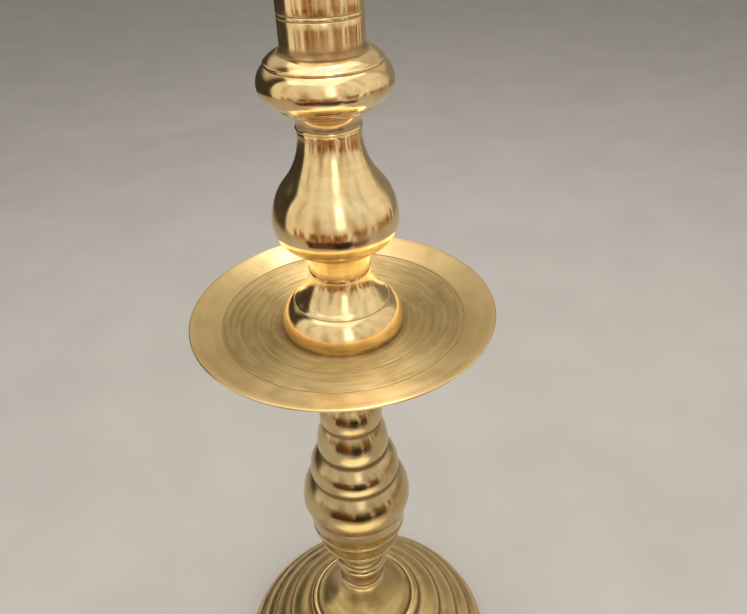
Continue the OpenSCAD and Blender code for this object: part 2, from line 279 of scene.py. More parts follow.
@dataclass(frozen=True)
class Lathe:
    """Turns closed outlines into meshes."""

    steps: int = 144
    corner: float = math.radians(24)
    corner_round: float = 0.22
    smooth_angle: float = math.radians(28)
    merge_within: float = 0.004
    relief_reach: float = 3.5
    line_reach: float = 0.7
    at_once: int = 4000

    def turn(self, name: str, loop: Sequence[Point], seat_z: float) -> bpy.types.Object:
        """Draws a closed outline by extruding a vertex, rounds its corners and spins it.

        Args:
            name: name of the new piece.
            loop: the closed outline's points, in millimetres over the seat.
            seat_z: height of the seat, in millimetres.

        Returns:
            The new mesh object, at the origin.
        """
        places = [Vector((r * MM, 0, (z + seat_z) * MM)) for r, z in loop]
        bpy.ops.object.select_all(action="DESELECT")
        bpy.ops.mesh.primitive_plane_add(size=MM, location=(0, 0, 0))
        piece = bpy.context.object
        piece.name = piece.data.name = name
        bpy.ops.object.mode_set(mode="EDIT")
        bpy.ops.mesh.merge(type="CENTER")
        bpy.ops.transform.translate(value=places[0])
        for start, end in zip(places, places[1:] + places[:1]):
            bpy.ops.mesh.extrude_vertices_move(TRANSFORM_OT_translate={"value": end - start})
        self._merge()
        self._round_corners(piece)
        bpy.ops.mesh.select_all(action="SELECT")
        bpy.ops.mesh.spin(
            steps=self.steps, angle=2 * math.pi, center=(0, 0, 0), axis=(0, 0, 1)
        )
        self._merge()
        bpy.ops.mesh.normals_make_consistent(inside=False)
        bpy.ops.object.mode_set(mode="OBJECT")
        bpy.ops.object.shade_smooth_by_angle(angle=self.smooth_angle)
        self._store_relief(piece, places)
        return piece

    def _merge(self) -> None:
        """Merges the vertices that lie on one another."""
        bpy.ops.mesh.select_all(action="SELECT")
        bpy.ops.mesh.remove_doubles(threshold=self.merge_within * MM)

    def _round_corners(self, piece: bpy.types.Object) -> None:
        """Rounds the outline's corners a little, as turned edges are.

        Args:
            piece: the outline's object, in edit mode.
        """
        bpy.ops.mesh.select_all(action="DESELECT")
        mesh = bmesh.from_edit_mesh(piece.data)
        for vertex in mesh.verts:
            if len(vertex.link_edges) != 2:
                continue
            ways = [e.other_vert(vertex).co - vertex.co for e in vertex.link_edges]
            vertex.select = math.pi - ways[0].angle(ways[1]) > self.corner
        mesh.select_flush_mode()
        bmesh.update_edit_mesh(piece.data)
        bpy.ops.mesh.bevel(
            offset=self.corner_round * MM, segments=2, affect="VERTICES", clamp_overlap=True
        )

    def _nearest(self, line: np.ndarray, co: np.ndarray) -> np.ndarray:
        """Finds the outline's point that each vertex was turned from.

        Args:
            line: the outline's points, in metres.
            co: the vertices' places.

        Returns:
            The number of the nearest point, for each vertex.
        """
        flat = np.stack([np.hypot(co[:, 0], co[:, 1]), co[:, 2]], axis=1)
        parts = np.array_split(flat, max(1, len(flat) // self.at_once))
        return np.concatenate(
            [((part[:, None, :] - line[None]) ** 2).sum(2).argmin(1) for part in parts]
        )

    def _store_relief(self, piece: bpy.types.Object, places: Sequence[Vector]) -> None:
        """Stores on each vertex whether it is in a groove, on a crest, in a line or faces up.

        Each of them is a number from 0 to 1.

        Args:
            piece: the turned piece.
            places: the closed outline, in metres.
        """
        line = np.array([(p.x, p.z) for p in places])
        broad, fine = (stand_off(line, span * MM) for span in (self.relief_reach, self.line_reach))
        mesh = piece.data
        co, facing = (np.empty(len(mesh.vertices) * 3, np.float32) for _ in range(2))
        mesh.vertices.foreach_get("co", co)
        mesh.vertex_normals.foreach_get("vector", facing)
        nearest = self._nearest(line, co.reshape(-1, 3))
        shares = {
            "groove": -broad[nearest],
            "crest": broad[nearest],
            "line": -fine[nearest],
            "upward": facing.reshape(-1, 3)[:, 2],
        }
        for name, value in shares.items():
            attribute = mesh.attributes.new(name, "FLOAT", "POINT")
            attribute.data.foreach_set("value", np.clip(value, 0, 1).astype(np.float32))


@dataclass(frozen=True)
class Fit:
    """How the sections sit on one another and on the tie rod, in millimetres."""

    hole_r: float = 5.5
    spigot_r: float = 11.0
    spigot_h: float = 4.0
    clearance: float = 0.15
    wall: float = 3.6
    end_wall: float = 7.0
    rod_gap: float = 0.4
    hollow_step: float = 3.0

    def recess(self) -> List[Point]:
        """Points of the rod's hole and the recess for the spigot below, from the top down."""
        r, z = self.spigot_r + self.clearance, self.spigot_h + 2 * self.clearance
        return [(self.hole_r, z), (r, z), (r, 0.0)]

    def close(
        self,
        outside: Outline,
        height: float,
        spigot_h: Optional[float] = None,
        hollow: Optional[Tuple[float, float]] = None,
    ) -> List[Point]:
        """Closes a section's outside with its spigot, its hollow, its hole and its recess.

        Args:
            outside: the section's outside, bottom to top.
            height: height of the section.
            spigot_h: height of its top spigot, where it isn't the usual one.
            hollow: the lowest and highest places of its hollow, where it has one.

        Returns:
            The closed outline.
        """
        rise = self.spigot_h if spigot_h is None else spigot_h
        loop = list(outside.points)
        if rise:
            loop += [(self.spigot_r, height), (self.spigot_r, height + rise)]
        loop.append((self.hole_r, height + rise))
        if hollow:
            low, high = hollow
            loop.append((self.hole_r, high))
            for z in np.linspace(high, low, max(3, round((high - low) / self.hollow_step))):
                inner = max(self.hole_r + self.rod_gap, outside.radius_at(float(z)) - self.wall)
                loop.append((inner, float(z)))
            loop.append((self.hole_r, low))
        return loop + self.recess()


# ---------------------------------------------------------------- shader bench


class Value:
    """A number in a material. Arithmetic on it adds Math nodes."""

    def __init__(self, bench: "Bench", socket: bpy.types.NodeSocket) -> None:
        """Wraps a socket.

        Args:
            bench: the bench that holds the node.
            socket: the socket that gives the number.
        """
        self.bench = bench
        self.socket = socket

    def _math(self, operation: str, *values: Any) -> "Value":
        """Adds a Math node.

        Args:
            operation: the node's operation.
            values: what it works on.

        Returns:
            The result.
        """
        node = self.bench.node("Math", {"operation": operation}, dict(enumerate(values)))
        return Value(self.bench, node.outputs[0])

    def __add__(self, other: Any) -> "Value":
        """self + other"""
        return self._math("ADD", self, other)

    __radd__ = __add__

    def __sub__(self, other: Any) -> "Value":
        """self - other"""
        return self._math("SUBTRACT", self, other)

    def __rsub__(self, other: Any) -> "Value":
        """other - self"""
        return self._math("SUBTRACT", other, self)

    def __mul__(self, other: Any) -> "Value":
        """self * other"""
        return self._math("MULTIPLY", self, other)

    __rmul__ = __mul__

    def __truediv__(self, other: Any) -> "Value":
        """self / other"""
        return self._math("DIVIDE", self, other)

    def top(self, other: Any) -> "Value":
        """The larger of the two."""
        return self._math("MAXIMUM", self, other)

    def size(self) -> "Value":
        """The number without its sign."""
        return self._math("ABSOLUTE", self)

    def bearing(self, other: Any) -> "Value":
        """The angle of the point (other, self), in radians."""
        return self._math("ARCTAN2", self, other)

    def root(self) -> "Value":
        """The square root."""
        return self._math("SQRT", self)

    def between(self, low: float, high: float) -> "Value":
        """Rises smoothly from 0 at low to 1 at high, or falls where low is the larger.

        Args:
            low: where it is 0.
            high: where it is 1.

        Returns:
            The number, from 0 to 1.
        """
        down = low > high
        first, last = (high, low) if down else (low, high)
        node = self.bench.node(
            "MapRange",
            {"interpolation_type": "SMOOTHSTEP"},
            {"Value": self, "From Min": first, "From Max": last},
        )
        rise = Value(self.bench, node.outputs[0])
        return 1 - rise if down else rise


class Bench:
    """Where the nodes of one material, or of the surroundings, are laid out."""

    def __init__(self, name: str, outdoors: bool = False) -> None:
        """Starts a material with the numbers that every finish needs.

        Args:
            name: name of the material.
            outdoors: whether it is for the surroundings and not for a piece.
        """
        self.owner = (bpy.data.worlds if outdoors else bpy.data.materials).new(name)
        self.owner.use_nodes = True
        self.tree = self.owner.node_tree
        self.tree.nodes.clear()
        self.place = self.node("TexCoord").outputs["Generated" if outdoors else "Object"]
        axes = self.node("SeparateXYZ", {}, {0: self.place})
        self.x, self.y, self.z = (Value(self, axes.outputs[i]) for i in range(3))
        self.r = (self.x * self.x + self.y * self.y).root()

    def node(
        self, kind: str, settings: Optional[Dict[str, Any]] = None, sockets: Optional[dict] = None
    ) -> bpy.types.Node:
        """Adds a node, sets it up and feeds its sockets.

        Args:
            kind: the node's type, without its prefix.
            settings: the node's own settings.
            sockets: each socket's name or number, with the value or link it takes.

        Returns:
            The node.
        """
        node = self.tree.nodes.new("ShaderNode" + kind)
        for key, setting in (settings or {}).items():
            setattr(node, key, setting)
        for key, feed in (sockets or {}).items():
            socket = node.inputs[key]
            feed = feed.socket if isinstance(feed, Value) else feed
            if isinstance(feed, bpy.types.NodeSocket):
                self.tree.links.new(feed, socket)
            else:
                socket.default_value = feed
        return node

    def _vector(self, *values: Any) -> bpy.types.NodeSocket:
        """Joins three numbers into a vector."""
        return self.node("CombineXYZ", {}, dict(enumerate(values))).outputs[0]

    def _noise(self, vector: Any, w: Any, scale: float, detail: float) -> Value:
        """Adds a noise.

        Args:
            vector: where it is read.
            w: where it is read along its fourth axis.
            scale: how fine it is.
            detail: how much finer variation it has.

        Returns:
            A number about 0.5.
        """
        sockets = {"Vector": vector, "W": w, "Scale": scale, "Detail": detail}
        return Value(self, self.node("TexNoise", {"noise_dimensions": "4D"}, sockets).outputs[0])

    def cloud(self, size: float, detail: float = 3.0, seed: float = 0.0) -> Value:
        """Soft patches all over, of a size in metres. A seed sets one use apart from another."""
        return self._noise(self.place, seed, 1 / size, detail)

    def curtains(self, width: float, drop: float, seed: float = 0.0) -> Value:
        """Patches a width across, in metres, and drop times as tall, as hanging things are."""
        return self._noise(self._vector(self.x, self.y, self.z / drop), seed, 1 / width, 3.0)

    def rings(self, pitch: float, breaks: float, detail: float = 2.0, seed: float = 0.0) -> Value:
        """Marks that run round the axis, as a lathe or a polishing mop leaves them.

        Args:
            pitch: distance from one mark to the next, in metres.
            breaks: how often a mark changes on its way round.
            detail: how much finer variation it has.
            seed: a number that sets one use apart from another.

        Returns:
            A number about 0.5.
        """
        off_axis = self.r.top(1e-5)
        way = self._vector(self.x / off_axis * breaks, self.y / off_axis * breaks, self.z / pitch)
        return self._noise(way, self.r / pitch + seed, 1.0, detail)

    def spots(self, spacing: float, size: float, share: float, seed: float = 0.0) -> Value:
        """Scattered small round spots.

        Args:
            spacing: distance between the places where a spot can be, in metres.
            size: radius of a spot, in metres.
            share: share of the places that have one.
            seed: a number that sets one use apart from another.

        Returns:
            1 in a spot and 0 elsewhere.
        """
        node = self.node(
            "TexVoronoi",
            {"voronoi_dimensions": "4D"},
            {"Vector": self.place, "W": seed, "Scale": 1 / spacing},
        )
        chance = Value(self, self.node("SeparateColor", {}, {0: node.outputs["Color"]}).outputs[0])
        edge = size / spacing
        near = Value(self, node.outputs["Distance"]).between(edge, edge * 0.4)
        return near * chance.between(share + 0.02, share)

    def ring_band(self, low: float, high: float) -> Value:
        """Rises from 0 to 1 between two distances from the axis, in millimetres."""
        return self.r.between(low * MM, high * MM)

    def stored(self, name: str) -> Value:
        """A number stored on the piece's own vertices."""
        return Value(self, self.node("Attribute", {"attribute_name": name}).outputs["Fac"])

    def blend(self, under: Any, over: Any, share: Value) -> bpy.types.NodeSocket:
        """Mixes two colours.

        Args:
            under: the colour where share is 0.
            over: the colour where share is 1.
            share: how much of the second one shows.

        Returns:
            The mixed colour.
        """
        colours = {6: self._colour(under), 7: self._colour(over), 0: share}
        settings = {"data_type": "RGBA", "clamp_factor": True}
        return self.node("Mix", settings, colours).outputs[2]

    @staticmethod
    def _colour(colour: Any) -> Any:
        """A colour as a socket takes it."""
        return (*colour, 1.0) if isinstance(colour, tuple) else colour

    def finish(self, shader: Dict[str, Any], height: Value) -> bpy.types.Material:
        """Adds the surface shader, with its relief.

        Args:
            shader: the shader's sockets.
            height: height of the surface's relief, in metres.

        Returns:
            The finished material.
        """
        bump = self.node("Bump", {}, {"Height": height, "Strength": 1.0, "Distance": 1.0})
        principled = self.node("BsdfPrincipled", {}, {**shader, "Normal": bump.outputs[0]})
        self.node("OutputMaterial", {}, {0: principled.outputs[0]})
        return self.owner

    def shine(self, colour: Any, share: Optional[Value] = None) -> bpy.types.Material:
        """Makes a surface that gives off a colour of its own.

        Args:
            colour: the colour.
            share: how much of the surface is there; the rest is clear. All of it without one.

        Returns:
            The finished material.
        """
        surface = self.node("Emission", {}, {"Color": colour, "Strength": 1.0})
        if share is not None:
            clear = self.node("BsdfTransparent")
            ends = {0: share, 1: clear.outputs[0], 2: surface.outputs[0]}
            surface = self.node("MixShader", {}, ends)
        self.node("OutputMaterial", {}, {0: surface.outputs[0]})
        return self.owner


# ---------------------------------------------------------------- finishes


class Zone(Enum):
    """Which surfaces a brass finish treats in their own way."""

    STEM = "stem"
    PAN = "pan"
    FOOT = "foot"
    SOCKET = "socket"


@dataclass(frozen=True)
class Brass:
    """A turned brass finish."""

    name: str
    slot: str
    zone: Zone = Zone.STEM
    bright: Colour = (0.88, 0.71, 0.42)
    warm: Colour = (0.79, 0.56, 0.27)
    # Brown of tarnish stains; it also paints shade into the grooves.
    tarnish_and_shade: Colour = (0.33, 0.20, 0.085)
    olive: Colour = (0.47, 0.36, 0.17)
    # Near-black of pits and specks; it also paints shade into the fine incised lines.
    grime_and_shade: Colour = (0.055, 0.036, 0.02)
    roughness: float = 0.12
    rough_spread: float = 0.10
    tarnish_share: float = 0.30
    groove_dirt_and_shade: float = 0.85
    wobble: float = 22e-6
    mark_depth: float = 0.9e-6
    anisotropic: float = 0.35
    dust: float = 0.0
    film_rough: float = 0.14

    def material(self) -> bpy.types.Material:
        """Lays out the finish's nodes.

        Returns:
            The material.
        """
        bench = Bench(self.name)
        patches = bench.cloud(0.045, 4.0, 1.3)
        smears = bench.rings(0.006, 1.6, 3.0, 4.0)
        marks = bench.rings(0.0011, 0.5, 2.0, 7.0)
        scratches = bench.rings(0.00045, 5.0, 1.0, 11.0).between(0.66, 0.74)
        groove = bench.stored("groove")
        crest = bench.stored("crest")
        speckle = bench.spots(0.0075, 0.0006, 0.22, 2.0)
        pits = bench.spots(0.021, 0.0011, 0.2, 5.0)
        stain = bench.cloud(0.02, 5.0, 9.0).between(0.52, 0.72) * self.tarnish_share
        # Grooves darken towards the brown colour as dirt and painted shade in the hollows; crests stay
        # a little clearer.
        dirt_and_shade = groove.between(0.12, 0.6) * (0.55 + 0.9 * bench.cloud(0.008, 3.0, 6.0))
        dark = (stain + dirt_and_shade * self.groove_dirt_and_shade - crest.between(0.25, 0.9) * 0.3).top(0.0)
        line = bench.stored("line").between(0.15, 0.6)
        dark, film, wear_and_highlight = self._zoned(bench, dark, smears)
        film = film + bench.stored("upward").between(0.22, 0.7) * (0.6 + 0.8 * smears) * self.dust
        colour = bench.blend(self.bright, self.warm, (patches * 0.6 + smears * 0.6).between(0.4, 0.8))
        colour = bench.blend(colour, self.olive, film)
        # The foot's rib crests and the pan's rim edge lighten towards bright brass: wear and painted
        # highlight.
        colour = bench.blend(colour, self.bright, wear_and_highlight * 0.6)
        colour = bench.blend(colour, self.tarnish_and_shade, dark)
        # Pits, specks and the fine incised lines darken towards the near-black colour; in the lines
        # this is dirt and painted shade.
        colour = bench.blend(colour, self.grime_and_shade, (pits + speckle * 0.45) * 0.85 + line * 0.5)
        roughness = (
            self.roughness
            + self.rough_spread * bench.cloud(0.013, 4.0, 3.0).between(0.35, 0.75)
            + 0.16 * dark
            + self.film_rough * film
            + 0.3 * line
            + (marks - 0.5) * 0.12
            + scratches * 0.03
            - wear_and_highlight * 0.08
        )
        height = (
            bench.cloud(0.022, 1.0, 8.0) * self.wobble
            + marks * self.mark_depth
            - pits * 60e-6
            - speckle * 12e-6
        )
        return bench.finish(
            {
                "Base Color": colour,
                "Metallic": 1.0 - dark * 0.18 - pits * 0.5 - line * 0.5,
                "Roughness": roughness.top(0.06),
                "Anisotropic": self.anisotropic,
                "Anisotropic Rotation": QUARTER_TURN,
            },
            height,
        )

    def _zoned(self, bench: Bench, dark: Value, smears: Value) -> Tuple[Value, Value, Value]:
        """Adds what only this zone has.

        Args:
            bench: the material's bench.
            dark: share of the tarnish-and-shade colour so far: stains, and grooves darkened as dirt
                and painted shade.
            smears: marks that run round the axis.

        Returns:
            Share of darkening towards the tarnish-and-shade colour, share of olive film, and share of
            lightening that stands for wear and a painted highlight.
        """
        none = dark * 0.0
        if self.zone is Zone.PAN:
            ring, hub, rim = DripPan.ring_r, reach("stem_bell"), reach("drip_pan")
            turned = bench.rings(0.0024, 2.2, 4.0, 17.0).between(0.3, 0.66)
            film = bench.ring_band(ring + 1.0, ring - 1.5) * (0.45 + 0.55 * turned)
            film = film * (0.45 + 0.8 * bench.cloud(0.009, 5.0, 12.0))
            # The pan darkens in a ring round the bell's seat.
            darker_round_seat = bench.ring_band(hub + 4.7, hub + 0.4) * bench.cloud(0.01, 3.0, 5.0)
            # The rim's edge lightens: wear and painted highlight.
            edge = bench.ring_band(rim - 2.0, rim - 0.3)
            return dark + darker_round_seat, film, edge
        if self.zone is Zone.FOOT:
            # The ribs' crests lighten: wear and painted highlight.
            wear_and_highlight = bench.stored("crest").between(0.08, 0.4)
            film = bench.cloud(0.05, 4.0, 12.0).between(0.3, 0.7) * (0.75 - 0.6 * wear_and_highlight)
            shade = bench.stored("groove").between(0.0, 0.25) * (0.3 + 0.6 * smears)
            return dark + shade, film, wear_and_highlight
        if self.zone is Zone.SOCKET:
            bore = CandleSocket.bore_r
            inside = bench.ring_band(bore + 0.85, bore + 0.35)
            return dark + inside * 0.55, inside * 0.4, none
        return dark, none, none


@dataclass(frozen=True)
class Steel:
    """Plain steel, a little dulled and rusted."""

    name: str = "dull_steel"
    colour: Colour = (0.42, 0.41, 0.40)
    rust: Colour = (0.20, 0.085, 0.03)
    roughness: float = 0.34

    def material(self) -> bpy.types.Material:
        """Lays out the finish's nodes.

        Returns:
            The material.
        """
        bench = Bench(self.name)
        rust = bench.cloud(0.006, 5.0, 3.0).between(0.56, 0.72) * 0.7
        marks = bench.rings(0.0006, 0.6, 2.0, 1.0)
        grain = bench.cloud(0.0015, 3.0, 2.0)
        return bench.finish(
            {
                "Base Color": bench.blend(self.colour, self.rust, rust),
                "Metallic": 1.0 - rust,
                "Roughness": self.roughness + rust * 0.4 + marks * 0.1,
            },
            marks * 3e-6 + grain * 6e-6 + rust * 20e-6,
        )


@dataclass(frozen=True)
class Finishes:
    """Every finish on the candlestick."""

    polished: Brass = Brass("polished_brass", "polished_brass")
    socket: Brass = Brass("socket_brass", "polished_brass", Zone.SOCKET, roughness=0.13)
    # The stem's brass is a darker copy of the polished brass, its colours darkened as painted shade
    # under the pan; it also has more stains and dust.
    stem: Brass = Brass(
        "stem_brass",
        "stem_brass",
        bright=(0.70, 0.55, 0.30),
        warm=(0.57, 0.40, 0.17),
        olive=(0.44, 0.36, 0.21),
        tarnish_share=0.42,
        groove_dirt_and_shade=0.5,
        roughness=0.12,
        dust=0.7,
    )
    pan: Brass = Brass(
        "pan_brass",
        "pan_brass",
        Zone.PAN,
        bright=(0.84, 0.66, 0.35),
        warm=(0.74, 0.52, 0.25),
        roughness=0.36,
        tarnish_share=0.25,
        wobble=30e-6,
        mark_depth=2.4e-6,
        anisotropic=0.85,
        film_rough=0.26,
    )
    foot: Brass = Brass(
        "foot_brass",
        "foot_brass",
        Zone.FOOT,
        bright=(0.84, 0.65, 0.32),
        warm=(0.55, 0.38, 0.15),
        roughness=0.24,
        tarnish_share=0.75,
        groove_dirt_and_shade=0.55,
        mark_depth=1.6e-6,
        anisotropic=0.5,
    )
    steel: Steel = Steel()


# ---------------------------------------------------------------- sub-assemblies


@dataclass(frozen=True)
class Workshop:
    """What every sub-assembly uses to make its pieces."""

    lathe: Lathe
    fit: Fit
    materials: Dict[str, bpy.types.Material]

    def deliver(
        self, name: str, node: str, loop: Sequence[Point], finish: Brass
    ) -> bpy.types.Object:
        """Turns a piece, gives it its finish and puts it in its node's stead.

        Args:
            name: name of the piece.
            node: the node that it stands for.
            loop: its closed outline, in millimetres over its seat.
            finish: its finish.

        Returns:
            The piece.
        """
        piece = self.lathe.turn(name, loop, seat(node))
        piece.data.materials.append(self.materials[finish.name])
        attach(piece, BODY)
        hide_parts(node)
        LOG.info("%s: %d faces in place of %s", name, len(piece.data.polygons), node)
        return piece


@dataclass(frozen=True)
class Foot:
    """The domed, ribbed foot and the small knop on its boss."""

    rim_in: float = 2.7
    rim_edge: Point = (1.0, 1.2)
    rim_upright: float = 0.45
    rib_z: float = 12.6
    ribs: int = 4
    rib_growth: float = 1.075
    dome_sag: float = 3.9
    rib_sag: float = 2.2
    rib_step: float = 3.2
    step_lean: float = 0.3
    boss_r: float = 48.3
    boss_z: float = 66.5
    ring_in: Point = (5.6, 3.0)
    ring_groove: Point = (0.8, 0.9)
    ring_sag: float = 1.1
    boss_turn: float = 0.36
    boss_sags: Tuple[float, float] = (1.2, -2.6)
    boss_top_r: float = 18.0
    foot_wall: float = 4.0
    boss_cap: float = 6.0
    roof_in: float = 1.0
    roof_sag: float = -1.2
    knop_r: float = 21.6
    knop_fillet_r: float = 19.3
    knop_waist_r: float = 16.6
    knop_top_r: float = 17.8
    knop_heights: Tuple[float, ...] = (0.22, 0.43, 0.45, 0.6, 0.74, 0.76, 0.87)

    def _crest(self, i: int) -> Point:
        """Finds a rib's crest on the dome. The ribs are narrower towards the rim.

        Args:
            i: the rib's number, counted from the rim.

        Returns:
            The crest's place.
        """
        share = (self.rib_growth**i - 1) / (self.rib_growth**self.ribs - 1)
        rim = (reach("base") - self.rim_in, self.rib_z)
        return bow_at(rim, (self.boss_r, self.boss_z), self.dome_sag, share)

    def _base_loop(self, fit: Fit) -> List[Point]:
        """Draws the foot: its ribs, its boss and the hollow under them.

        Args:
            fit: how the sections sit on one another.

        Returns:
            The closed outline.
        """
        top_z = seat("foot_knop") - seat("base")
        rim_r = reach("base")
        out = Outline(rim_r - self.rim_edge[0], 0).line(rim_r, self.rim_edge[1])
        out.line(rim_r, self.rib_z * self.rim_upright)
        out.leave(*self._crest(0))
        for i in range(self.ribs):
            r, z = self._crest(i + 1)
            out.bow(r + self.step_lean * self.rib_step, z - self.rib_step, self.rib_sag)
            out.line(r, z)
        ring = (self.boss_r - self.ring_in[0], self.boss_z + self.ring_in[1])
        groove = (ring[0] - self.ring_groove[0], ring[1] - self.ring_groove[1])
        turn = share_of_way(groove, (self.boss_top_r, top_z), self.boss_turn)
        swell, hollow = self.boss_sags
        out.bow(*ring, self.ring_sag).line(*groove).bow(*turn, swell)
        out.bow(self.boss_top_r, top_z, hollow)
        roof_r, roof_z = self.boss_top_r - self.roof_in, top_z - self.boss_cap
        under = Outline(rim_r - self.rim_in - self.foot_wall, 0)
        under.line(under.points[0][0], self.rib_z - self.foot_wall)
        shoulder = (self.boss_r - self.foot_wall, self.boss_z - self.rib_step - self.foot_wall)
        under.bow(*shoulder, self.dome_sag).bow(roof_r, roof_z, self.roof_sag)
        spigot_z = top_z + fit.spigot_h
        loop = out.points + [(fit.spigot_r, top_z), (fit.spigot_r, spigot_z)]
        return loop + [(fit.hole_r, spigot_z), (fit.hole_r, roof_z)] + under.points[::-1]

    def _knop_loop(self, fit: Fit) -> List[Point]:
        """Draws the knop: fillet, waist, bead and cove.

        Args:
            fit: how the sections sit on one another.

        Returns:
            The closed outline.
        """
        k = seat("lower_stem") - seat("foot_knop")
        waist, under, low, bead, high, over, cove = (share * k for share in self.knop_heights)
        w = self.knop_waist_r
        out = Outline(self.knop_fillet_r - 0.7, 0)
        out.belly((self.knop_fillet_r, 1.3), (self.knop_fillet_r - 1.1, 2.8)).line(w + 0.7, 3.4)
        out.arrive(w, waist).leave(self.knop_r - 2.4, under).line(self.knop_r - 2, low)
        out.belly((self.knop_r, bead), (self.knop_r - 1.9, high)).line(w + 1.6, over)
        out.arrive(w + 0.7, cove).line(self.knop_top_r, k)
        return fit.close(out, k)

    def build(self, shop: Workshop, finishes: Finishes) -> None:
        """Makes the foot and its knop."""
        shop.deliver("ribbed_foot", "base", self._base_loop(shop.fit), finishes.foot)
        shop.deliver("boss_knop", "foot_knop", self._knop_loop(shop.fit), finishes.stem)


@dataclass(frozen=True)
class Beehive:
    """The beehive stem, from its bowl to its waist, and the collar under the pan."""

    bowl_h: float = 63.0
    bowl_r: float = 32.4
    neck_r: float = 17.2
    neck_h: float = 8.0
    bowl_bead_r: float = 37.2
    bowl_beads_at: Tuple[float, float] = (1 / 3, 0.64)
    small_bead: Point = (1.0, 1.4)
    bead_r: Tuple[float, ...] = (42.0, 34.0, 26.7, 22.9)
    bead_h: Tuple[float, ...] = (32.0, 24.0, 28.5, 22.0)
    bead_groove: Tuple[float, ...] = (1.9, 1.6, 1.7, 1.5)
    bead_wide_at: float = 0.24
    waist_r: float = 17.0
    waist_at: float = 0.55
    waist_groove: float = 1.5
    waist_fillet_r: float = 19.4
    collar_bead_r: float = 22.6
    collar_bead_h: float = 8.0
    collar_waist_r: float = 18.0
    collar_waist_at: float = 0.33
    collar_top_r: float = 34.5
    collar_band_h: float = 5.0

    def _small_bead(self, out: Outline, r: float, z: float) -> Outline:
        """Adds a small half-round bead, widest at (r, z)."""
        depth, half = self.small_bead
        return out.line(r - depth, z - half).belly((r, z), (r - 0.8 * depth, z + half))

    def _groove_r(self, i: int) -> float:
        """Radius of the groove over a bead."""
        last = i == len(self.bead_r) - 1
        return self.waist_r + self.waist_groove if last else self.bead_r[i + 1] - self.bead_groove[i]

    def _stem_loop(self, fit: Fit) -> List[Point]:
        """Draws the beehive.

        Args:
            fit: how the sections sit on one another.

        Returns:
            The closed outline.
        """
        height = seat("pan_collar") - seat("lower_stem")
        lip_z, ring_z = (share * self.bowl_h for share in self.bowl_beads_at)
        out = Outline(self.neck_r + 0.6, 0).line(self.neck_r, 0.6).line(self.neck_r, self.neck_h)
        out.leave(self.neck_r + 6, self.neck_h + 5.2).bow(self.bowl_r - 1.6, lip_z - 1.4, 1)
        self._small_bead(out, self.bowl_r, lip_z).line(self.bowl_r - 1, lip_z + 1.8)
        out.bow(self.bowl_bead_r - 1, ring_z - 1.4, 0.8)
        self._small_bead(out, self.bowl_bead_r, ring_z).line(self.bowl_bead_r - 0.8, ring_z + 1.8)
        out.bow(self.bead_r[0] - 3, self.bowl_h - 1, 0.6).line(self.bead_r[0] - 1.6, self.bowl_h + 0.4)
        z = self.bowl_h
        for i, (r, h) in enumerate(zip(self.bead_r, self.bead_h)):
            if i:
                out.line(self._groove_r(i - 1) + 0.2, z + 0.4)
            out.belly((r, z + self.bead_wide_at * h), (self._groove_r(i), z + h))
            z += h
        waist_z = z + self.waist_at * (height - z)
        out.line(self.waist_r + 1.3, z + 0.6).arrive(self.waist_r, waist_z)
        out.leave(self.waist_fillet_r - 0.6, height - 2.6)
        out.line(self.waist_fillet_r, height - 2).line(self.waist_fillet_r, height)
        return fit.close(out, height, hollow=(fit.end_wall, height - fit.end_wall))

    def _collar_loop(self, fit: Fit) -> List[Point]:
        """Draws the collar that carries the pan.

        Args:
            fit: how the sections sit on one another.

        Returns:
            The closed outline.
        """
        h = seat("drip_pan") - seat("pan_collar")
        gauge = seat("stem_bell") - seat("drip_pan")
        w, bead_h, band_z = self.collar_waist_r, self.collar_bead_h, h - self.collar_band_h
        out = Outline(self.waist_fillet_r, 0)
        out.belly((self.collar_bead_r, bead_h / 2), (w + 1.4, bead_h)).line(w + 0.9, bead_h + 0.6)
        out.arrive(w, self.collar_waist_at * h).leave(self.collar_top_r - 1.5, band_z - 1)
        out.line(self.collar_top_r, band_z).line(self.collar_top_r, h)
        return fit.close(out, h, gauge + fit.spigot_h)

    def build(self, shop: Workshop, finishes: Finishes) -> None:
        """Makes the beehive and the collar."""
        shop.deliver("beehive_stem", "lower_stem", self._stem_loop(shop.fit), finishes.stem)
        shop.deliver("pan_carrier", "pan_collar", self._collar_loop(shop.fit), finishes.stem)


@dataclass(frozen=True)
class DripPan:
    """The wide saucer with its incised rings."""

    depth: float = 11.3
    ring_z: float = 6.0
    ring_r: float = 79.0
    fine_r: float = 58.0
    fine_share: float = 0.5
    ring_cut: float = 0.5
    ring_w: float = 0.8
    hub_out: float = 0.4
    edge_turn: int = 15

    def _loop(self, fit: Fit) -> List[Point]:
        """Draws the pan.

        Args:
            fit: how the sections sit on one another.

        Returns:
            The closed outline.
        """
        gauge = seat("stem_bell") - seat("drip_pan")
        hub_r = reach("stem_bell") + self.hub_out
        rim_r = reach("drip_pan")
        hole = fit.spigot_r + fit.clearance
        slopes = ([hub_r, self.ring_r, rim_r], [gauge, gauge + self.ring_z, gauge + self.depth])

        def top(r: float) -> float:
            """Height of the upper face at a radius."""
            return float(np.interp(r, *slopes))

        half = gauge / 2
        edge = rim_r - half
        lift = top(edge) - half
        out = Outline(hole, 0).line(hub_r, 0).line(self.ring_r, top(self.ring_r) - gauge)
        out.line(edge, lift - half)
        for angle in range(self.edge_turn - 90, 91, self.edge_turn):
            turn = math.radians(angle)
            out.points.append((edge + half * math.cos(turn), lift + half * math.sin(turn)))
        for r, share in ((self.ring_r, 1.0), (self.fine_r, self.fine_share)):
            w, cut = self.ring_w * share, self.ring_cut * share
            out.line(r + w, top(r + w)).line(r, top(r) - cut).line(r - w, top(r - w))
        out.line(hub_r, gauge).line(hole, gauge)
        return out.points

    def build(self, shop: Workshop, finishes: Finishes) -> None:
        """Makes the pan."""
        shop.deliver("saucer", "drip_pan", self._loop(shop.fit), finishes.pan)


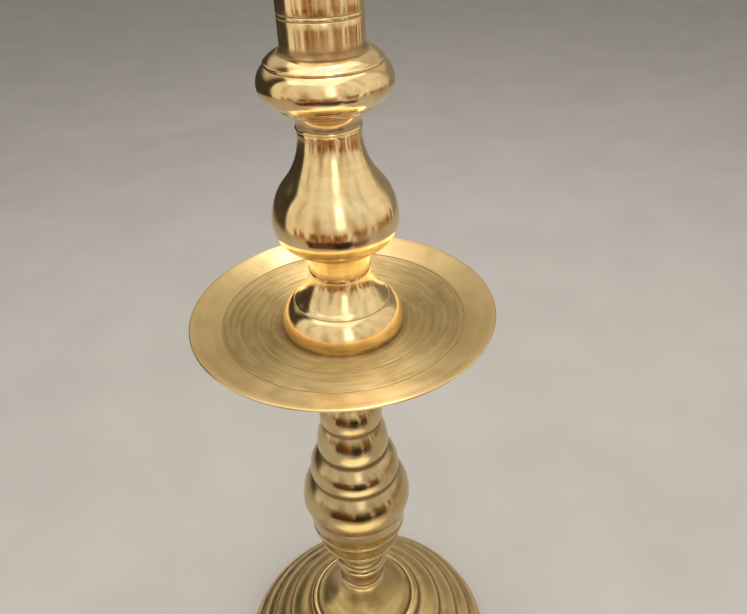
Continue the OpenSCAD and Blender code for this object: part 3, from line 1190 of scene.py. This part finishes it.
@dataclass(frozen=True)
class UpperStem:
    """Bell collar, pear, waisted collar and cushion."""

    bell_band_z: float = 4.0
    bell_top_r: float = 19.8
    bell_turn: float = 0.433
    line_cut: float = 0.45
    pear_collar_r: float = 19.4
    pear_collar_h: float = 15.5
    pear_neck_r: float = 18.4
    pear_belly_z: float = 33.9
    pear_turn: float = 0.455
    flange_r: float = 28.6
    neck_bead_r: float = 19.1
    cushion_wide_at: float = 0.53

    def _bell_loop(self, fit: Fit) -> List[Point]:
        """Draws the bell.

        Args:
            fit: how the sections sit on one another.

        Returns:
            The closed outline.
        """
        h = seat("pear_baluster") - seat("stem_bell")
        wide = (reach("stem_bell"), self.bell_band_z)
        turn = share_of_way(wide, (self.bell_top_r, h), self.bell_turn)
        out = Outline(wide[0] - 0.5, 0).arrive(*wide).leave(turn[0] + 0.5, turn[1] - 0.5)
        out.line(turn[0] - self.line_cut, turn[1]).line(turn[0] - 0.5, turn[1] + 0.5)
        out.arrive(self.bell_top_r, h)
        return fit.close(out, h, hollow=(fit.end_wall, h - fit.end_wall))

    def _pear_loop(self, fit: Fit) -> List[Point]:
        """Draws the pear and its short collar.

        Args:
            fit: how the sections sit on one another.

        Returns:
            The closed outline.
        """
        h = seat("neck_collar") - seat("pear_baluster")
        r, collar_h = self.pear_collar_r, self.pear_collar_h
        out = Outline(r - 0.3, 0).line(r, 0.6).line(r, collar_h - 1).leave(r + 1.1, collar_h + 0.7)
        out.arrive(reach("pear_baluster"), self.pear_belly_z)
        out.ogee((self.pear_neck_r, h - 2), self.pear_turn).line(self.pear_neck_r, h)
        return fit.close(out, h, hollow=(collar_h + fit.wall, h - fit.end_wall))

    def _neck_loop(self, fit: Fit) -> List[Point]:
        """Draws the waisted collar and its flange.

        Args:
            fit: how the sections sit on one another.

        Returns:
            The closed outline.
        """
        h = seat("cushion_knop") - seat("neck_collar")
        r, lip = self.pear_neck_r, self.flange_r
        out = Outline(r, 0).belly((self.neck_bead_r, 1), (r, 2.2)).line(r - 0.1, 2.4)
        out.leave(lip - 0.3, h - 1.9).line(lip, h - 1.5).line(lip, h - 0.5).line(lip - 0.4, h)
        return fit.close(out, h)

    def _cushion_loop(self, fit: Fit) -> List[Point]:
        """Draws the cushion.

        Args:
            fit: how the sections sit on one another.

        Returns:
            The closed outline.
        """
        h = seat("candle_socket") - seat("cushion_knop")
        top_r = reach("candle_socket") - 0.4
        out = Outline(self.flange_r + 0.8, 0)
        out.belly((reach("cushion_knop"), self.cushion_wide_at * h), (top_r, h))
        return fit.close(out, h, hollow=(fit.end_wall, h - fit.end_wall))

    def build(self, shop: Workshop, finishes: Finishes) -> None:
        """Makes the bell, the pear, the collar and the cushion.

        Args:
            shop: what turns and delivers them.
            finishes: every finish.
        """
        shop.deliver("bell_collar", "stem_bell", self._bell_loop(shop.fit), finishes.polished)
        shop.deliver("pear_section", "pear_baluster", self._pear_loop(shop.fit), finishes.polished)
        shop.deliver("waisted_collar", "neck_collar", self._neck_loop(shop.fit), finishes.polished)
        shop.deliver("cushion", "cushion_knop", self._cushion_loop(shop.fit), finishes.polished)


@dataclass(frozen=True)
class CandleSocket:
    """The tube that holds the candle, on its sloped shoulder."""

    bore_r: float = 19.75
    tube_r: float = 22.9
    floor: float = 8.4
    well_r: float = 13.8
    well_h: float = 8.0
    line_z: float = 23.4
    line_gap: float = 2.2
    line_w: float = 0.8
    line_cut: float = 0.45
    lip_out: float = 1.0

    def _loop(self, fit: Fit) -> List[Point]:
        """Draws the socket, with its bore.

        Args:
            fit: how the sections sit on one another.

        Returns:
            The closed outline.
        """
        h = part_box("candle_socket")[1].z / MM - seat("candle_socket")
        s, tube, lip = reach("candle_socket"), self.tube_r, self.tube_r + self.lip_out
        out = Outline(s - 0.7, 0).belly((s, 0.9), (s - 0.7, 1.8)).line(s - 1.1, 2.2)
        out.bow(tube + 1.7, 6, 0.8).arrive(tube, 9)
        out.incise(self.line_z, self.line_w, self.line_cut)
        out.incise(self.line_z + self.line_gap, self.line_w, self.line_cut)
        out.line(tube, h - 3.8).belly((lip, h - 1.8), (lip - 0.7, h))
        ledge = self.floor + self.well_h
        bore = Outline(self.bore_r, h).line(self.bore_r, ledge).line(self.well_r, ledge)
        bore.line(self.well_r, self.floor).line(fit.hole_r, self.floor)
        return out.points + bore.points + fit.recess()

    def build(self, shop: Workshop, finishes: Finishes) -> None:
        """Makes the socket."""
        shop.deliver("candle_tube", "candle_socket", self._loop(shop.fit), finishes.socket)


@dataclass(frozen=True)
class Fasteners:
    """The rod, nuts and washers, which keep their own shapes."""

    nodes: Tuple[str, ...] = (
        "tie_rod",
        "socket_washer",
        "socket_nut",
        "base_washer",
        "spring_washer",
        "base_nut",
        "lock_nut",
    )

    def build(self, shop: Workshop, finishes: Finishes) -> None:
        """Gives each fastener its steel.

        Args:
            shop: what holds the materials.
            finishes: every finish.
        """
        for name in self.nodes:
            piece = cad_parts[name]
            piece.data.materials.clear()
            piece.data.materials.append(shop.materials[finishes.steel.name])
            LOG.info("%s: steel", name)


# ---------------------------------------------------------------- studio


def aimed(place: Sequence[float], aim: Sequence[float], face: str) -> Matrix:
    """A placement whose face axis looks from its place to its aim."""
    way = Vector(aim) - Vector(place)
    return Matrix.Translation(place) @ way.to_track_quat(face, "Y").to_matrix().to_4x4()


def only_reflected(piece: bpy.types.Object, name: str) -> None:
    """Names a piece and lets only reflections show it."""
    piece.name = piece.data.name = name
    piece.visible_camera = piece.visible_diffuse = piece.visible_shadow = False


@dataclass(frozen=True)
class Softbox:
    """A rectangular light. Reflections show it only where it is mirrored."""

    name: str
    place: Tuple[float, float, float]
    aim: Tuple[float, float, float]
    size: Tuple[float, float]
    power: float
    mirrored: bool = False
    colour: Colour = (1.0, 0.95, 0.87)

    def build(self) -> None:
        """Adds the light, turned towards its aim."""
        light = bpy.data.lights.new(self.name, "AREA")
        light.shape = "RECTANGLE"
        light.size, light.size_y = self.size
        light.energy = self.power
        light.color = self.colour
        lamp = bpy.data.objects.new(self.name, light)
        bpy.context.scene.collection.objects.link(lamp)
        lamp.visible_glossy = self.mirrored
        lamp.matrix_world = aimed(self.place, self.aim, "-Z")
        LOG.info("%s: %.0f W", self.name, self.power)


@dataclass(frozen=True)
class Card:
    """A flat, soft-edged card that only reflections show, as a studio's flag or bounce is.

    Its edges fade over the share soft of its size and wander by the share ragged. Its two
    colours change over patches that are the share patch of its size.
    """

    name: str
    place: Tuple[float, float, float]
    aim: Tuple[float, float, float]
    size: Tuple[float, float]
    glow: Colour
    glow_too: Colour
    soft: float = 0.12
    ragged: float = 0.3
    patch: float = 0.2

    def build(self) -> None:
        """Adds the card, turned towards its aim."""
        bpy.ops.object.select_all(action="DESELECT")
        bpy.ops.mesh.primitive_plane_add(size=1)
        card = bpy.context.object
        only_reflected(card, self.name)
        card.matrix_world = aimed(self.place, self.aim, "Z") @ Matrix.Diagonal((*self.size, 1, 1))
        bench = Bench(self.name)
        ragged = (bench.cloud(self.patch, 3.0, self.place[0]) - 0.5) * self.ragged
        across = (0.5 - bench.x.size() + ragged).between(0.0, self.soft)
        along = (0.5 - bench.y.size() + ragged).between(0.0, self.soft)
        patches = bench.cloud(self.patch, 4.0, 5.0).between(0.4, 0.6)
        glow = bench.blend(self.glow, self.glow_too, patches)
        card.data.materials.append(bench.shine(glow, across * along))
        LOG.info("%s: a card", self.name)


@dataclass(frozen=True)
class Room:
    """The walls that the brass reflects: pale in front, cluttered low down, dim at the sides."""

    radius: float = 1.5
    low: float = -0.95
    high: float = 3.2
    dado: float = 0.33
    left_edge: float = -1.66
    right_edge: float = 1.95
    lamp_bearing: float = 0.13
    lamp_half_width: float = 0.2
    lamp_foot: Point = (0.5, 0.7)
    lamp_head: Point = (2.6, 1.9)
    ceiling_bearing: Point = (1.9, 2.3)
    ceiling_from: Point = (0.8, 1.2)
    left_soft: float = 0.06
    right_soft: float = 0.3
    pale: Colour = (0.95, 0.89, 0.76)
    shade: Colour = (0.46, 0.36, 0.22)
    brown: Colour = (0.48, 0.21, 0.06)
    dark: Colour = (0.022, 0.011, 0.005)
    wall_left: Colour = (0.05, 0.04, 0.03)
    wall_right: Colour = (0.26, 0.23, 0.19)
    lamp: Colour = (2.5, 2.4, 2.15)
    ceiling: Colour = (0.60, 0.54, 0.43)

    def build(self) -> None:
        """Adds the walls as one open ring that only reflections show."""
        bpy.ops.object.select_all(action="DESELECT")
        bpy.ops.mesh.primitive_cylinder_add(
            vertices=96,
            radius=self.radius,
            depth=self.high - self.low,
            end_fill_type="NOTHING",
            location=(0, 0, (self.high + self.low) / 2),
        )
        bpy.ops.object.transform_apply(location=True)
        walls = bpy.context.object
        only_reflected(walls, "room_walls")
        bench = Bench("room_walls")
        walls.data.materials.append(bench.shine(self._colours(bench)))
        LOG.info("room walls: radius %.1f m", self.radius)

    def _colours(self, bench: Bench) -> bpy.types.NodeSocket:
        """Colours the walls by their bearing and height.

        Args:
            bench: the material's bench.

        Returns:
            The colour.
        """
        bearing = bench.x.bearing(bench.y * -1)
        pale = bench.blend(self.shade, self.pale, bench.curtains(0.5, 4.0, 3.0).between(0.3, 0.56))
        things = bench.curtains(0.11, 3.0, 8.0)
        clutter = bench.blend(self.dark, self.brown, things.between(0.4, 0.52))
        clutter = bench.blend(clutter, self.pale, bench.curtains(0.2, 5.0, 14.0).between(0.5, 0.6))
        top = self.dado + (bench.curtains(0.16, 1.0, 21.0) - 0.5) * 0.5
        room = bench.blend(pale, clutter, (top - bench.z).between(-0.04, 0.04))
        near_lamp = (bearing - self.lamp_bearing).size().between(self.lamp_half_width, 0.04)
        lamp = near_lamp * bench.z.between(*self.lamp_foot) * bench.z.between(*self.lamp_head)
        room = bench.blend(room, self.lamp, lamp)
        left = bearing.between(self.left_edge, self.left_edge - self.left_soft)
        right = bearing.between(self.right_edge, self.right_edge + self.right_soft)
        room = bench.blend(bench.blend(room, self.wall_left, left), self.wall_right, right)
        behind = bearing.size().between(*self.ceiling_bearing)
        return bench.blend(room, self.ceiling, behind * bench.z.between(*self.ceiling_from))


@dataclass(frozen=True)
class Studio:
    """Floor, lights, surroundings and camera."""

    floor_size: float = 9.0
    floor_front: float = -1.1
    floor_colour: Colour = (0.50, 0.49, 0.475)
    floor_mottle: float = 0.93
    lights: Tuple[Softbox, ...] = (
        Softbox("overhead", (-0.1, 0.05, 1.9), (0, 0, 0.3), (1.9, 1.9), 11, True),
        Softbox("ceiling_lamp", (0.17, 0.42, 1.85), (0.17, 0.42, 0), (0.27, 0.7), 9, True),
        Softbox("ceiling_tube", (-0.09, 0.42, 1.85), (-0.09, 0.42, 0), (0.07, 0.7), 2.6, True),
        Softbox("front_panel", (0.1, -1.9, 1.35), (0, 0, 0.45), (2.4, 1.5), 12),
        Softbox("left_panel", (-1.3, -0.6, 1.05), (0, 0, 0.45), (1.3, 1.2), 4.5),
        Softbox("right_panel", (1.4, -0.4, 1.05), (0, 0, 0.45), (1.4, 1.2), 4.5),
    )
    cards: Tuple[Card, ...] = (
        Card("flag", (0.08, -0.55, 0.13), (0, 0, 0.13), (0.3, 0.27), BLACK, BLACK, ragged=0.15),
        Card("brown_left", (-0.36, -0.52, 0.12), (0, 0, 0.12), (0.5, 0.27), BROWN, BLACK),
        Card("brown_right", (0.4, -0.45, 0.1), (0, 0, 0.1), (0.3, 0.24), BROWN, BLACK),
        Card("dark_floor", (-0.1, -0.92, 0.004), (-0.1, -0.92, 1), (1.3, 0.7), BLACK, BROWN),
        Card("lit_floor", (0.02, -0.31, 0.003), (0.02, -0.31, 1), (0.6, 0.34), LIT, LIT, 0.3),
    )
    world_low: Colour = (0.09, 0.06, 0.04)
    world_high: Colour = (0.45, 0.42, 0.38)
    world_from: float = 0.35
    world_to: float = 0.95
    focal_share: float = 0.93701
    sensor: float = 36.0
    distance: float = 0.38052
    rise_over_pan: float = 0.2577
    pitch: float = 34.275
    roll: float = 2.643
    yaw: float = -3.042

    def build(self) -> None:
        """Makes the studio."""
        self._camera()
        self._floor()
        self._world()
        for thing in (*self.lights, *self.cards, Room()):
            thing.build()
        bpy.context.scene.view_settings.view_transform = "Standard"

    def _camera(self) -> None:
        """Adds the camera, over and in front of the pan."""
        camera = bpy.data.cameras.new("camera")
        camera.sensor_width = self.sensor
        camera.lens = self.sensor * self.focal_share
        camera.clip_start = 0.01
        holder = bpy.data.objects.new("camera", camera)
        bpy.context.scene.collection.objects.link(holder)
        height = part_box("drip_pan")[1].z + self.rise_over_pan
        turn = Matrix.Rotation(math.radians(self.yaw), 4, "Z")
        turn @= Matrix.Rotation(math.radians(90 - self.pitch), 4, "X")
        turn @= Matrix.Rotation(math.radians(-self.roll), 4, "Z")
        holder.matrix_world = Matrix.Translation((0, -self.distance, height)) @ turn
        bpy.context.scene.camera = holder
        LOG.info("camera: %.0f mm lens", camera.lens)

    def _floor(self) -> None:
        """Adds the pale floor, which ends a good step in front of the candlestick."""
        bpy.ops.object.select_all(action="DESELECT")
        centre = (0, self.floor_front + self.floor_size / 2, 0)
        bpy.ops.mesh.primitive_plane_add(size=self.floor_size, location=centre)
        floor = bpy.context.object
        floor.name = "floor"
        bench = Bench("pale_floor")
        mottle = bench.cloud(0.12, 4.0, 1.0).between(0.3, 0.7)
        shade = tuple(self.floor_mottle * c for c in self.floor_colour)
        colour = bench.blend(shade, self.floor_colour, mottle)
        grain = bench.cloud(0.002, 3.0, 2.0) * 40e-6
        floor.data.materials.append(bench.finish({"Base Color": colour, "Roughness": 0.6}, grain))

    def _world(self) -> None:
        """Sets soft surroundings: dim and warm low down, lighter overhead."""
        bench = Bench("surroundings", outdoors=True)
        rise = (bench.z * 0.5 + (0.5 - self.world_from)) / (self.world_to - self.world_from)
        colour = bench.blend(self.world_low, self.world_high, rise)
        surface = bench.node("Background", {}, {"Color": colour, "Strength": 1.0})
        bench.node("OutputWorld", {}, {0: surface.outputs[0]})
        bpy.context.scene.world = bench.owner


# ---------------------------------------------------------------- all together


def main() -> None:
    """Builds the studio, then the candlestick around the frame."""
    logging.basicConfig(level=logging.INFO, format="%(name)s: %(message)s")
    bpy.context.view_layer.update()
    Studio().build()
    finishes = Finishes()
    materials = {finish.name: finish.material() for finish in vars(finishes).values()}
    shop = Workshop(Lathe(), Fit(), materials)
    for assembly in (Foot(), Beehive(), DripPan(), UpperStem(), CandleSocket(), Fasteners()):
        assembly.build(shop, finishes)


if __name__ == "__main__":
    main()
